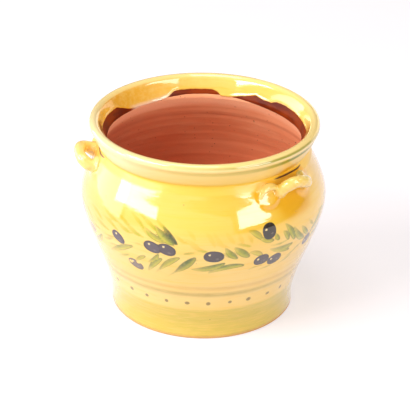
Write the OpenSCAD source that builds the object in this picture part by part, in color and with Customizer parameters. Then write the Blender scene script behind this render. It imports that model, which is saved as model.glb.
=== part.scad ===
// Glazed earthenware olive jar: a thrown clay body with a rolled rim, three coil handles
// luted to the shoulder, and two glaze layers. Millimetres, +Z up, origin at the middle
// of the underside. Bearings are degrees from the front (-Y), positive towards +X.

/* [Body] */
// Height from the resting face to the top of the lip
jar_height = 175; // [140:1:230]
// Outer diameter of the lip
rim_d = 200; // [170:1:250]
// Outer diameter of the belly at its widest
belly_d = 216; // [180:1:270]
// Height of the widest part of the belly
belly_z = 106; // [80:1:125]
// Outer diameter of the foot
foot_d = 162; // [130:1:200]
// Height of the upright foot below the flare
foot_h = 6; // [3:0.5:15]
// Thickness of the clay wall
wall = 7; // [5:0.5:10]
// Thickness of the clay floor
floor_t = 9; // [6:0.5:14]
// Radius of the bend between wall and floor, inside
floor_fillet = 12; // [6:0.5:20]
// Radius that breaks the lower edge of the foot
foot_edge = 1.2; // [0.5:0.1:3]

/* [Collar and lip] */
// Outer diameter at the crease between shoulder and collar
crease_d = 182; // [160:1:200]
// Drop from the top of the lip to the crease
crease_drop = 23; // [18:0.5:35]
// Radius of the rolled lip
lip_r = 4.4; // [3:0.1:6]
// How far the throat, the narrowest way in, stands inside the outer face of the crease
throat_in = 7; // [4:0.5:14]
// Drop from the top of the lip to the throat
throat_drop = 19; // [14:0.5:30]

/* [Glaze] */
// Thickness of the fired glaze
glaze_t = 0.6; // [0.3:0.1:1.2]
// Bare clay left under the glaze at the foot
glaze_foot_gap = 2.4; // [1:0.1:6]
// Drop from the top of the lip to the lower edge of the yellow glaze inside the mouth
yellow_drop = 12; // [7:0.5:15]

/* [Handles] */
// Bearings of the handles round the jar
handle_bearings = [46, -86, 160];
// Half the distance between the two roots of a handle
handle_half_span = 20.5; // [16:0.5:30]
// How far the middle of the coil stands out from its roots
handle_reach = 15; // [13:0.5:22]
// How far the middle of the coil rises above its roots
handle_rise = 6; // [0:0.5:14]
// Drop from the crease to the middle of the roots
handle_drop = 12; // [10:0.5:20]
// Thickness of the coil
coil_t = 9; // [6:0.5:12]
// Height of the coil
coil_h = 9.5; // [7:0.5:14]
// Width of a root where it is pressed on to the wall
pad_w = 18; // [12:0.5:24]
// Height of a root where it is pressed on to the wall
pad_h = 17; // [12:0.5:22]

/* [Hidden] */
$fn = 96;

curve_steps = 14;                       // chords in each curve of the section
lip_steps = 18;                         // chords round the lip
bend_steps = 8;                         // chords in the bend between wall and floor
edge_steps = 4;                         // chords round the edge of the foot
lip_start = -45;                        // angle where the collar runs into the lip
lip_end = 152;                          // angle where the lip runs into the mouth's slope
collar_out = 2.4;                       // how the collar leaves the crease: outwards
collar_up = 3.4;                        // and upwards
collar_lean = [1.6, 5.5];               // how the collar comes up to the lip
throat_land = 2.2;                      // height of the upright edge at the throat
under_throat = [2.6, 9];                // how the inner face leaves the throat: out and down
foot_pull = 0.3;                        // shares of a rise that shape its curve: above the foot
under_belly_pull = 0.26;                // below the belly
over_belly_pull = 0.35;                 // above the belly
crease_pull = 0.2;                      // below the crease
crease_swell = 0.15;                    // share of the shoulder's width kept up to the crease
foot_r = foot_d / 2;
belly_r = belly_d / 2;
crease_r = crease_d / 2;
throat_r = crease_r - throat_in;
crease_z = jar_height - crease_drop;
throat_z = jar_height - throat_drop;
yellow_z = jar_height - yellow_drop;
lip_c = [rim_d / 2 - lip_r, jar_height - lip_r];    // middle of the rolled lip
flare_rise = belly_z - foot_h;
shoulder_rise = crease_z - belly_z;
shoulder_in = belly_r - crease_r;
mouth_slope_r = crease_r - 2;           // outside the mouth's slope, inside the collar
below_throat = 5;                       // how far a mask reaches below the throat

coil_rings = 34;                        // spans along a coil
coil_sides = 16;                        // sides of a coil
coil_turn = 88;                         // half the sweep of a coil, just short of square to the wall
coil_fullness = 0.7;                    // under 1 gives the coil squarer shoulders than an ellipse
root_depth = 4;                         // how far a root starts inside the wall before it is cut
flare_length = 3.5;                     // distance over which a root narrows to the coil
root_z = crease_z - handle_drop;
root_r = lookup(root_z, [for (p = shoulder_points(0)) [p[1], p[0]]]);   // wall behind the roots
root_x = sqrt(root_r * root_r - handle_half_span * handle_half_span);

// Points from a to just before d on the cubic curve with middle controls b and c.
function curve(a, b, c, d, n = curve_steps) =
    [for (i = [0 : n - 1]) let (t = i / n, s = 1 - t)
        s * s * s * a + 3 * s * s * t * b + 3 * s * t * t * c + t * t * t * d];

// Points of an arc about c, radius r, from angle a to angle b.
function arc(c, r, a, b, n) =
    [for (i = [0 : n]) let (u = a + (b - a) * i / n) c + r * [cos(u), sin(u)]];

// Outer face of the shoulder from the belly to the crease, drawn in by g.
function shoulder_points(g) =
    curve([belly_r - g, belly_z], [belly_r - g, belly_z + over_belly_pull * shoulder_rise],
          [crease_r - g + crease_swell * shoulder_in, crease_z - crease_pull * shoulder_rise],
          [crease_r - g, crease_z]);

// Outer face from the foot to the throat, drawn in by g for what lies under the glaze.
function face_points(g) =
    let (foot = foot_r - g, belly = belly_r - g, crease = crease_r - g, lip = lip_r - g,
         collar_end = lip_c + lip * [cos(lip_start), sin(lip_start)])
    concat(
        arc([foot - foot_edge, foot_edge], foot_edge, -90, 0, edge_steps),
        curve([foot, foot_h], [foot, foot_h + foot_pull * flare_rise],
              [belly, belly_z - under_belly_pull * flare_rise], [belly, belly_z]),
        shoulder_points(g),
        curve([crease, crease_z], [crease + collar_out, crease_z + collar_up],
              collar_end - collar_lean, collar_end),
        arc(lip_c, lip, lip_start, lip_end, lip_steps),
        [[throat_r + g, throat_z + throat_land]]);

// Inner face from the throat down to the floor. Glaze never reaches it.
function inner_points() =
    let (belly = belly_r - wall, foot = foot_r - wall, bend_z = floor_t + floor_fillet)
    concat(
        [[throat_r, throat_z + throat_land]],
        curve([throat_r, throat_z], [throat_r + under_throat[0], throat_z - under_throat[1]],
              [belly, belly_z + over_belly_pull * shoulder_rise], [belly, belly_z]),
        curve([belly, belly_z], [belly, belly_z - under_belly_pull * flare_rise],
              [foot, bend_z + foot_pull * (belly_z - bend_z)], [foot, bend_z]),
        arc([foot - floor_fillet, bend_z], floor_fillet, 0, -90, bend_steps));

// Section of the jar: g is 0 with its glaze, glaze_t without it.
module section(g) {
    polygon(concat([[0, 0]], face_points(g), inner_points(), [[0, floor_t]]));
}

// Section of the jar as if it were filled to the throat.
module filled_section(g) {
    polygon(concat([[0, 0]], face_points(g), [[0, throat_z + throat_land]]));
}

module clay_body() {
    color("#b9603f")
        rotate_extrude() section(glaze_t);
}

// Both layers of glaze, everywhere that glaze lies on the clay.
module glaze_section() {
    difference() {
        section(0);
        section(glaze_t);
    }
}

// The part of the half plane that the yellow coat covers: all outside, and the lip.
module yellow_zone() {
    translate([0, glaze_foot_gap])
        square([belly_d, throat_z - below_throat - glaze_foot_gap]);
    translate([mouth_slope_r, throat_z - 2 * below_throat])
        square([belly_d, jar_height]);
    translate([0, yellow_z])
        square([belly_d, jar_height]);
}

module glaze_coat() {
    color("#f2c23a")
        difference() {
            rotate_extrude() intersection() {
                glaze_section();
                yellow_zone();
            }
            for (b = handle_bearings) coil(b);
        }
}

// Clear glaze on the bare clay of the mouth, between the yellow edge and the throat.
module throat_glaze() {
    color("#6b2412")
        rotate_extrude() intersection() {
            glaze_section();
            translate([0, throat_z - below_throat])
                square([mouth_slope_r, yellow_z - throat_z + below_throat]);
        }
}

// Middle line of a coil at angle u, from one root to the other: outwards, along, upwards.
function coil_point(u) =
    [root_x + handle_reach * pow(cos(u), coil_fullness), handle_half_span * sin(u),
     handle_rise * cos(u)];
function coil_tangent(u) =
    let (outwards = -handle_reach * coil_fullness * pow(cos(u), coil_fullness - 1) * sin(u),
         along = [outwards, handle_half_span * cos(u), 0])
    along / norm(along);
// How much a root has spread into its pad at a distance d out from the roots.
function flare(d) = exp(-d / flare_length);
function ring(p, t, spread) =
    let (side = cross(t, [0, 0, 1]),
         half_t = (coil_t + (pad_w - coil_t) * spread) / 2,
         half_h = (coil_h + (pad_h - coil_h) * spread) / 2)
    [for (j = [0 : coil_sides - 1]) let (a = 360 * j / coil_sides)
        p + half_t * cos(a) * side + half_h * sin(a) * [0, 0, 1]];

// One whole coil, its roots inside the wall, before it is cut to the clay.
module coil_solid() {
    n = coil_sides;
    root = [root_x - root_depth, handle_half_span, 0];
    bend = [for (i = [0 : coil_rings]) let (u = coil_turn * (2 * i / coil_rings - 1), p = coil_point(u))
        ring(p, coil_tangent(u), flare(p[0] - root_x))];
    rings = concat([ring([root[0], -root[1], 0], [1, 0, 0], 1)], bend, [ring(root, [-1, 0, 0], 1)]);
    points = [for (r = rings) for (p = r) p];
    quads = [for (i = [0 : len(rings) - 2]) for (j = [0 : n - 1])
        let (a = i * n + j, b = i * n + (j + 1) % n)
        [a, b, b + n, a + n]];
    first = [for (j = [n - 1 : -1 : 0]) j];
    last = [for (j = [0 : n - 1]) (len(rings) - 1) * n + j];
    polyhedron(points, concat(
        [for (q = quads) [q[0], q[1], q[2]]],
        [for (q = quads) [q[0], q[2], q[3]]],
        [first, last]));
}

// The coil at its bearing, against the wall of the shoulder.
module coil(bearing) {
    rotate([0, 0, bearing - 90])
        translate([0, 0, root_z])
            coil_solid();
}

module handle(bearing) {
    color("#eebc3c")
        difference() {
            coil(bearing);
            rotate_extrude() filled_section(glaze_t);
        }
}

clay_body();
glaze_coat();
throat_glaze();
handle(handle_bearings[0]);  // handle_right
handle(handle_bearings[1]);  // handle_left
handle(handle_bearings[2]);  // handle_back
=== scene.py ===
# Looks of the glazed olive jar. Sizes are written in millimetres, as in the part's source, and
# meshes are made in metres. Bearings are degrees from the front (-Y), positive towards +X.
import bpy
import math
import numpy as np
from mathutils import Matrix


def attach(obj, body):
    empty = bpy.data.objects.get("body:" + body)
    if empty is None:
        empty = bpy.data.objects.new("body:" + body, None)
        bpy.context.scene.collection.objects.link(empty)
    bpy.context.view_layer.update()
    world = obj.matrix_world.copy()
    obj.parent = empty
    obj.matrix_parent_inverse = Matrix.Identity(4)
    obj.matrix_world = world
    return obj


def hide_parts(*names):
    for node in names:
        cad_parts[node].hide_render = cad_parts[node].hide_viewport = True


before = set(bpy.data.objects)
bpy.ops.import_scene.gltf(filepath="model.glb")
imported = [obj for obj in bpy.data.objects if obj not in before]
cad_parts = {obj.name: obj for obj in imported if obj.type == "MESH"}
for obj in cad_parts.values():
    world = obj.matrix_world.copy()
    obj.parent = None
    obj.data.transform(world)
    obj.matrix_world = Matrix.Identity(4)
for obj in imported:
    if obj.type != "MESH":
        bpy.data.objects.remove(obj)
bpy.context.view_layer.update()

MM = 0.001
JAR_HEIGHT = 175.0
RIM_R = 100.0
BELLY_R = 108.0
BELLY_Z = 106.0
FOOT_R = 81.0
FOOT_H = 6.0
WALL = 7.0
FLOOR_T = 9.0
FLOOR_FILLET = 12.0
FOOT_EDGE = 1.2
CREASE_R = 91.0
CREASE_Z = 152.0
LIP_R = 4.4
LIP_C = (RIM_R - LIP_R, JAR_HEIGHT - LIP_R)
LIP_START = -45.0
LIP_END = 143.0
THROAT_R = CREASE_R - 7.0
THROAT_Z = 156.0
GLAZE_T = 0.6
GLAZE_FOOT = 2.4
HANDLE_BEARINGS = {"handle_right": 46.0, "handle_left": -86.0, "handle_back": 160.0}
HALF_SPAN = 20.5
REACH = 15.0
RISE = 6.0
ROOT_Z = 140.0
COIL_T = 9.0
COIL_H = 9.5
PAD_W = 18.0
PAD_H = 17.0
FULLNESS = 0.7
FLARE = 3.5
SKIN_IN = 0.05
RAD = math.pi / 180


# Sections

def cubic(a, b, c, d, n=60):
    t = np.linspace(0, 1, n, endpoint=False)[:, None]
    a, b, c, d = (np.array(p, float) for p in (a, b, c, d))
    s = 1 - t
    return s**3 * a + 3 * s * s * t * b + 3 * s * t * t * c + t**3 * d


def arc(c, r, a, b, n):
    u = np.radians(np.linspace(a, b, n))
    return np.stack([c[0] + r * np.cos(u), c[1] + r * np.sin(u)], 1)


def face_line(g):
    """Outer face from the foot to the throat, drawn in by g."""
    rise = BELLY_Z - FOOT_H
    up = CREASE_Z - BELLY_Z
    foot, belly, crease, lip = FOOT_R - g, BELLY_R - g, CREASE_R - g, LIP_R - g
    end = np.array([LIP_C[0] + lip * math.cos(LIP_START * RAD), LIP_C[1] + lip * math.sin(LIP_START * RAD)])
    return np.concatenate([
        arc((foot - FOOT_EDGE, FOOT_EDGE), FOOT_EDGE, -90, 0, 8),
        cubic((foot, FOOT_H), (foot, FOOT_H + 0.3 * rise), (belly, BELLY_Z - 0.26 * rise), (belly, BELLY_Z)),
        cubic((belly, BELLY_Z), (belly, BELLY_Z + 0.35 * up),
              (crease + 0.15 * (BELLY_R - CREASE_R), CREASE_Z - 0.2 * up), (crease, CREASE_Z)),
        cubic((crease, CREASE_Z), (crease + 2.4, CREASE_Z + 3.4), end - [1.6, 5.5], end, 24),
        arc(LIP_C, lip, LIP_START, LIP_END, 40)])


def inner_line(g=0.0):
    """Inner face from the throat to the middle of the floor."""
    belly, foot, bend = BELLY_R - WALL, FOOT_R - WALL, FLOOR_T + FLOOR_FILLET
    return np.concatenate([
        cubic((THROAT_R + g, THROAT_Z), (THROAT_R + g + 2.6, THROAT_Z - 9),
              (belly, BELLY_Z + 0.35 * (CREASE_Z - BELLY_Z)), (belly, BELLY_Z)),
        cubic((belly, BELLY_Z), (belly, BELLY_Z - 0.26 * (BELLY_Z - FOOT_H)),
              (foot, bend + 0.3 * (BELLY_Z - bend)), (foot, bend)),
        arc((foot - FLOOR_FILLET, bend), FLOOR_FILLET, 0, -90, 16),
        [[0.6, FLOOR_T]]])


def downhill(angle):
    return np.array([-math.sin(angle * RAD), -math.cos(angle * RAD)])


def mouth_slope(g):
    """The mouth's slope, a little swollen under the lip, and the rounded edge of the throat."""
    lip = np.array(LIP_C) + (LIP_R - g) * np.array([math.cos(LIP_END * RAD), math.sin(LIP_END * RAD)])
    low = np.array([THROAT_R + g + 0.35, THROAT_Z + 2.9])
    return np.concatenate([
        cubic(lip, lip + 3.5 * downhill(180 - LIP_END), low - 8 * downhill(27.5), low, 18)[1:],
        cubic(low, low + 1.2 * downhill(27.5), (THROAT_R + g, THROAT_Z + 1.4), (THROAT_R + g, THROAT_Z), 12)])


def lengths(line):
    return np.concatenate([[0], np.cumsum(np.hypot(*np.diff(line, axis=0).T))])


def along(line, s):
    d = lengths(line)
    return np.stack([np.interp(s, d, line[:, 0]), np.interp(s, d, line[:, 1])], -1)


def wrap(a):
    return (a + 180.0) % 360.0 - 180.0


def soft(x, lo, hi):
    t = np.clip((x - lo) / (hi - lo), 0, 1)
    return t * t * (3 - 2 * t)


def ripple(x, seed):
    """A smooth wave without a visible period, about -1 to 1."""
    return (np.sin(x * 1.0 + seed) + 0.6 * np.sin(x * 2.37 + 1.7 * seed) + 0.4 * np.sin(x * 4.11 + 2.9 * seed)) / 2


def around(az, seed):
    """A smooth wave that closes after one turn, about -1 to 1."""
    a = az * RAD
    return (np.sin(2 * a + seed) + 0.7 * np.sin(5 * a + 2.1 * seed) + 0.5 * np.sin(9 * a + 3.3 * seed)
            + 0.3 * np.sin(17 * a + 0.7 * seed)) / 2.5


# Meshes

def make_mesh(name, verts, quads, extra=None, values=None, flip=False):
    mesh = bpy.data.meshes.new(name)
    faces = [tuple(q) for q in quads] + [tuple(q) for q in (extra or [])]
    if flip:
        faces = [f[::-1] for f in faces]
    mesh.from_pydata([tuple(v) for v in verts * MM], [], faces)
    for key, val in (values or {}).items():
        layer = mesh.attributes.new(key, "FLOAT", "POINT")
        layer.data.foreach_set("value", np.ascontiguousarray(val, dtype=np.float32).ravel())
    mesh.validate()
    mesh.update()
    mesh.polygons.foreach_set("use_smooth", np.ones(len(mesh.polygons), dtype=bool))
    obj = bpy.data.objects.new(name, mesh)
    bpy.context.scene.collection.objects.link(obj)
    return obj


def grid_quads(rows, cols):
    i, j = np.meshgrid(np.arange(rows - 1), np.arange(cols), indexing="ij")
    k = (j + 1) % cols
    return np.stack([i * cols + j, i * cols + k, (i + 1) * cols + k, (i + 1) * cols + j], -1).reshape(-1, 4)


def turned(r, az, z):
    a = az * RAD
    return np.stack([r * np.sin(a), -r * np.cos(a), z], -1)


def line_normals(p):
    """Outward normals of a section that runs up its outer face, for points along the first axis."""
    t = np.gradient(p, axis=0)
    t = t / np.maximum(np.linalg.norm(t, axis=-1, keepdims=True), 1e-9)
    return np.stack([t[..., 1], -t[..., 0]], -1)


# Yellow glaze with the painted garland

COLS = 540
OUTER_ROWS = 146
MOUTH_ROWS = 26

# Lower edge of the yellow glaze inside the mouth: bearing and height
DRIP = [(-180, 162.9), (-165, 163.0), (-161.5, 162.5), (-159, 160.4), (-156, 157.8), (-151, 156.2), (-142, 155.6),
        (-132, 156.2), (-127, 158.2), (-122, 161.2), (-117, 164.0), (-110, 164.5), (-93, 165.0), (-78, 167.0),
        (-50, 166.4), (-20, 165.2), (0, 166.2), (25, 164.8), (50, 166.4), (70, 167.6), (82, 166.8), (91, 164.3),
        (102, 163.5), (125, 163.7), (132, 163.4), (136, 161.0), (143, 161.2), (148, 162.8), (154, 160.7),
        (161, 158.7), (165, 157.5), (170, 157.7), (172, 160.5), (175, 162.7), (180, 162.9)]

face = face_line(SKIN_IN)
start = np.searchsorted(face[:, 1][:12], GLAZE_FOOT)
outer = np.concatenate([[[FOOT_R - SKIN_IN, GLAZE_FOOT]], face[face[:, 1] > GLAZE_FOOT]])
outer_len = lengths(outer)[-1]
mouth = np.concatenate([outer[-1:], mouth_slope(SKIN_IN - 0.15)[:-1], inner_line(-0.12)[:40]])
mouth_d = lengths(mouth)

az1 = np.arange(COLS) * 360.0 / COLS - 180.0
drip_z = np.interp(az1, [d[0] for d in DRIP], [d[1] for d in DRIP])
drip_z = drip_z + 0.22 * ripple(az1 * 0.55, 2.0) * soft(drip_z, 157, 162)
drip_s = np.interp(-drip_z, -mouth[:60, 1], mouth_d[:60])

s_outer = np.linspace(0, 1, OUTER_ROWS) * outer_len
q = np.linspace(0, 1, MOUTH_ROWS + 1)[1:]
q = 1 - (1 - q) ** 1.55
foot_run = (1.35 + 0.3 * around(az1, 3.1)) * np.exp(-s_outer[:, None] / 3.0)
p_outer = np.repeat(along(outer, s_outer)[:, None, :], COLS, 1)
p_outer[..., 1] -= foot_run
p_mouth = along(mouth, q[:, None] * drip_s[None, :])
P = np.concatenate([p_outer, p_mouth])
S = np.concatenate([np.repeat(s_outer[:, None], COLS, 1), outer_len + q[:, None] * drip_s[None, :]])
AZ = np.repeat(az1[None, :], len(P), 0)
N = line_normals(P)
Z0 = P[..., 1].copy()
to_edge = np.concatenate([np.full((OUTER_ROWS, COLS), 30.0), (1 - q)[:, None] * drip_s[None, :]])

# Throwing ridges, a hand's wobble, the thick edge of the glaze and its rounded lower end
outside = soft(outer_len - S, 8, 16)
ridge = (0.5 + 0.5 * ripple(S * 0.62 + 0.25 * around(AZ, 1.0), 0.6)) * (0.16 + 0.10 * around(AZ, 5.0))
ridge += (0.5 + 0.5 * np.sin(S * 0.36 + 0.6 * around(AZ, 2.0))) * 0.16
shoulder_zone = soft(Z0, 112, 124) * soft(-Z0, -150, -140)
ridge = ridge * (0.62 - 0.36 * shoulder_zone) * outside * soft(S, 0.5, 8) * (1 - 0.75 * soft(Z0, 143, 150))
wobble = 0.25 * (1 + around(AZ, 4.2)) * outside * soft(S, 2, 20)
drawn_in = ridge + wobble
bead = 0.26 * np.exp(-((to_edge - 1.0) / 0.95) ** 2) - 0.62 * np.exp(-((to_edge) / 0.28) ** 2)
foot_bead = 0.10 * np.exp(-((S - 0.9) / 0.7) ** 2) - 0.55 * np.exp(-(S / 0.35) ** 2)
foot_bead = np.where(foot_bead > 0, 0, foot_bead)
P = P + N * (bead + foot_bead - drawn_in)[..., None]
crease_dip = 0.5 * np.exp(-((Z0 - CREASE_Z) / 1.3) ** 2) * (S < outer_len - 12)
P[..., 0] -= crease_dip

# Clay pushed up round the roots of the handles, smoothed in with a thumb
radius_at = np.maximum(P[..., 0], 1)
HANDLE_SIDES = [(name, b, sgn) for name, b in HANDLE_BEARINGS.items() for sgn in (-1, 1)]
root_r = float(np.interp(ROOT_Z, outer[:, 1][outer[:, 1] < 150], outer[:, 0][outer[:, 1] < 150]))
root_turn = math.degrees(math.asin(HALF_SPAN / root_r))
# The amber mask round the handles: glaze pooled round each pad, and the painted shadow and painted reflection of each
# coil on the wall behind it, under it and in the collar above it
pool_and_shadow = np.zeros_like(S)
mound = np.zeros_like(S)
s_root = float(np.interp(ROOT_Z, outer[outer[:, 1] < 150][:, 1], lengths(outer)[:len(outer[outer[:, 1] < 150])]))
# How much amber each handle gets, for pooled glaze and painted shade; the left handle, on the lit side, is painted
# paler instead
SHADE_AND_POOL = {"handle_right": 1.0, "handle_left": 0.25, "handle_back": 0.8}
for name, b, sgn in HANDLE_SIDES:
    dx = wrap(AZ - (b + sgn * root_turn)) * RAD * radius_at
    dy = S - s_root
    d = np.hypot(dx / 1.08, dy)
    near = d < 40
    mound += np.where(near, 1.5 * np.exp(-(np.maximum(d - 7.0, 0) / 4.2) ** 2), 0)
    pool_and_shadow += SHADE_AND_POOL[name] * np.where(near, np.exp(-((d - 10.5) / 2.6) ** 2), 0)
for name, b in HANDLE_BEARINGS.items():
    dx = wrap(AZ - b) * RAD * radius_at
    pool_and_shadow += SHADE_AND_POOL[name] * 0.95 * np.exp(-(dx / 17) ** 2 - ((S - s_root - 2) / 12) ** 2)
    pool_and_shadow += SHADE_AND_POOL[name] * 1.15 * np.exp(-(np.abs(dx - 7) / 25) ** 3 - (np.abs(S - s_root + 14) / 14) ** 3)
    pool_and_shadow += SHADE_AND_POOL[name] * np.exp(-((dx - 8) / 15) ** 2 - ((Z0 - 154.5) / 4.5) ** 2) * (S > s_root)
    mound += 1.1 * np.exp(-(dx / 12) ** 2 - ((S - s_root - 2) / 8) ** 2)
mound *= (S < outer_len - 18)
pool_and_shadow *= soft(outer_len - S, 12, 15)
P[..., 0] += np.minimum(mound, 2.1)


# Paint: each mark is a distance in millimetres from its edge, negative inside

def surface_s(z):
    keep = outer[:, 1] < 168
    return float(np.interp(z, outer[keep][:, 1], lengths(outer)[:keep.sum()]))


FAR = 6.0
field = {key: np.full_like(S, FAR) for key in ("olive", "glint", "leaf", "faint", "dot", "line", "shine")}
olive_tone = np.zeros_like(S)
olive_up = np.zeros_like(S)
leaf_t = np.zeros_like(S)
leaf_side = np.zeros_like(S)
leaf_tone = np.zeros_like(S)
faint_t = np.zeros_like(S)
faint_tone = np.zeros_like(S)


def put_olive(az, z, length, height, tilt, tone, glint=(-0.42, 0.30), glint_r=1.25):
    dx = wrap(AZ - az) * RAD * radius_at
    dy = S - surface_s(z)
    c, s = math.cos(tilt * RAD), math.sin(tilt * RAD)
    a, b = length / 2, height / 2
    u, v = dx * c + dy * s, -dx * s + dy * c
    k = (np.abs(u / a) ** 2.2 + np.abs(v / b) ** 2.2) ** (1 / 2.2)
    d = (k - 1) * min(a, b)
    better = d < field["olive"]
    field["olive"][better] = d[better]
    olive_tone[better] = tone
    olive_up[better] = np.clip(-u / a * 0.45 + v / b * 0.75, -1, 1)[better]
    g = np.hypot(u - glint[0] * a, (v - glint[1] * b) * 1.15) - glint_r
    field["glint"] = np.minimum(field["glint"], g)
    g2 = np.hypot((u - 0.35 * a) / 1.7, v + 0.38 * b) - 0.9
    field["shine"] = np.minimum(field["shine"], g2)


def put_leaf(base, tip, width, tone, bow=0.12, faint=False):
    s0, s1 = surface_s(base[1]), surface_s(tip[1])
    dz = s1 - s0
    daz = wrap(tip[0] - base[0])
    n = 26
    mid_r = 104.0
    lx, ly = daz * RAD * mid_r, dz
    size = math.hypot(lx, ly)
    best = np.full_like(S, FAR)
    best_t = np.zeros_like(S)
    best_side = np.zeros_like(S)
    close = (np.abs(wrap(AZ - base[0] - daz / 2)) * RAD * mid_r < abs(lx) / 2 + 9) & (
        np.abs(S - s0 - dz / 2) < abs(dz) / 2 + 9)
    azc, sc, rc = AZ[close], S[close], radius_at[close]
    bd = np.full(azc.shape, FAR)
    bt = np.zeros_like(bd)
    bs = np.zeros_like(bd)
    for i in range(n):
        t = i / (n - 1)
        off = bow * size * 4 * t * (1 - t)
        px = t * lx - off * ly / size
        py = t * ly + off * lx / size
        w = width / 2 * (math.sin(math.pi * min(1, t * 0.94 + 0.06)) ** 0.75) * (1.18 - 0.38 * t)
        ex = wrap(azc - base[0]) * RAD * rc - px
        ey = sc - s0 - py
        d = np.hypot(ex, ey) - w
        better = d < bd
        bd[better] = d[better]
        bt[better] = t
        bs[better] = (np.clip((-ex * ly + ey * lx) / size / max(w, 0.4), -1, 1))[better]
    key = "faint" if faint else "leaf"
    f = field[key][close]
    better = bd < f
    f[better] = bd[better]
    field[key][close] = f
    if faint:
        for store, val in ((faint_t, bt), (faint_tone, np.full_like(bt, tone))):
            part = store[close]
            part[better] = val[better]
            store[close] = part
    else:
        for store, val in ((leaf_t, bt), (leaf_side, bs)):
            part = store[close]
            part[better] = val[better]
            store[close] = part
        part = leaf_tone[close]
        part[better] = tone
        leaf_tone[close] = part


# The branch as it runs across the front: bearing, height, length, width, tilt, darkness
OLIVES = [(-64.6, 90.5, 14, 9, -20, 0.10), (-41.8, 98.6, 15.5, 9.4, -32, 0.35), (-23.1, 99.4, 16.4, 11, -16, 0.35),
          (-16.2, 99.3, 16.4, 11.2, -18, 0.55), (-34.0, 75.0, 15.5, 10, -24, 0.25), (5.1, 95.0, 17.4, 12, -3, 0.72),
          (31.3, 112.6, 13.2, 15, 8, 1.0), (28.4, 85.3, 14.6, 11.2, 10, 0.62), (36.0, 81.9, 14.6, 11.0, 15, 0.62),
          (58.0, 86.5, 12, 10, 30, 0.30)]
# Leaves: base, tip, width, darkness
LEAVES = [((-13.4, 105.8), (-22.6, 119.6), 6.4, 0.72), ((-11.6, 106.4), (-18.2, 120.4), 4.6, 1.0),
          ((-14.2, 107.4), (-19.4, 115.6), 3.0, 0.98), ((-17.6, 106.8), (-27.2, 116.4), 4.6, 0.42),
          ((-34.0, 94.4), (-50.0, 78.0), 5.0, 0.42), ((-19.2, 88.6), (-26.8, 71.4), 4.8, 0.55),
          ((-20.6, 92.6), (-26.2, 82.2), 3.8, 0.45), ((-10.8, 92.0), (-20.4, 75.4), 5.2, 0.42),
          ((-3.6, 92.8), (-12.6, 75.8), 6.6, 0.80), ((9.8, 87.0), (-5.0, 80.8), 5.6, 0.66),
          ((19.2, 83.0), (3.0, 76.6), 5.2, 0.62), ((15.6, 92.0), (9.8, 104.0), 5.0, 0.60),
          ((21.2, 92.2), (14.0, 103.4), 6.2, 0.58), ((28.0, 90.4), (21.4, 96.4), 4.2, 0.18),
          ((45.6, 91.8), (31.8, 94.8), 5.2, 0.46), ((44.2, 86.6), (34.4, 90.6), 3.6, 0.42),
          ((46.6, 96.4), (40.2, 114.4), 5.4, 0.60), ((54.4, 91.0), (45.4, 108.4), 5.4, 0.56),
          ((42.4, 98.8), (38.8, 108.6), 4.2, 0.50), ((57.6, 93.0), (51.0, 105.2), 4.2, 0.46),
          ((33.4, 103.0), (25.6, 109.4), 4.4, 0.44), ((27.0, 107.6), (20.8, 116.2), 4.8, 0.36),
          ((36.6, 102.2), (34.4, 109.2), 3.6, 0.44), ((60.5, 92.5), (72.8, 109.0), 5.0, 0.46),
          ((62.0, 87.0), (75.0, 96.0), 4.4, 0.40), ((-55.0, 90.0), (-65.0, 78.0), 4.6, 0.42),
          ((-27.6, 87.2), (-33.2, 79.0), 3.4, 0.30)]
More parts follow.
